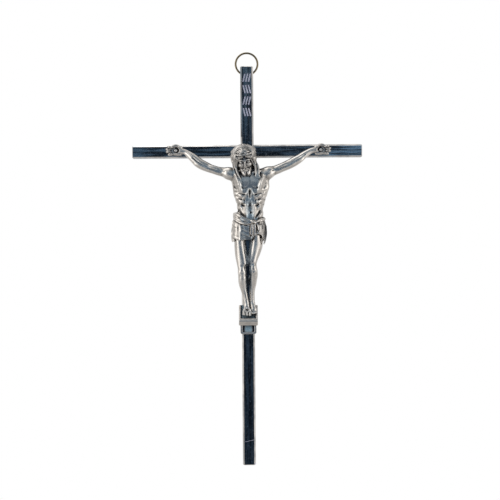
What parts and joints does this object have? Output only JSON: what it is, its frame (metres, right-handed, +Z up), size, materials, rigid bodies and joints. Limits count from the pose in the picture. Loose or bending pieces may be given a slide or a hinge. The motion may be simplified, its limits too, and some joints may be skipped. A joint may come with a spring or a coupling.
{
  "type": "hanging metal crucifix",
  "caption": "Slim metal crucifix with a cast figure and a footrest on a flat bevelled cross, swinging from a wire ring that hangs it on a wall nail.",
  "frame": {"origin": "centre of the hanging ring, in the middle of the bar's thickness", "axes": "+Z up along the upright, +X to the viewer's right along the crossbar, +Y from the figure towards the wall"},
  "size_m": [0.1152, 0.0171, 0.2073],
  "materials": {
    "dark_bars": "polished and darkened blue-black, bright along the worn bevels",
    "silver_casting": "cast, silver plated and aged, dark in the hollows",
    "footrest_casting": "cast, dull pale grey",
    "nail_steel": "satin, darkened round the edge of the head",
    "brass_wire": "drawn wire, tarnished"
  },
  "bodies": {
    "ring": {"ring": "brass_wire"},
    "cross": {"cross": "dark_bars", "corpus": "silver_casting", "footrest": "footrest_casting", "nail_left_hand": "nail_steel", "nail_right_hand": "nail_steel", "nail_feet": "nail_steel"}
  },
  "joints": [
    {"name": "ring_swing", "type": "hinge", "parent": "ring", "child": "cross", "pos_m": [0, 0, -0.0049], "axis": [1, 0, 0], "range_deg": [-160, 160]}
  ]
}
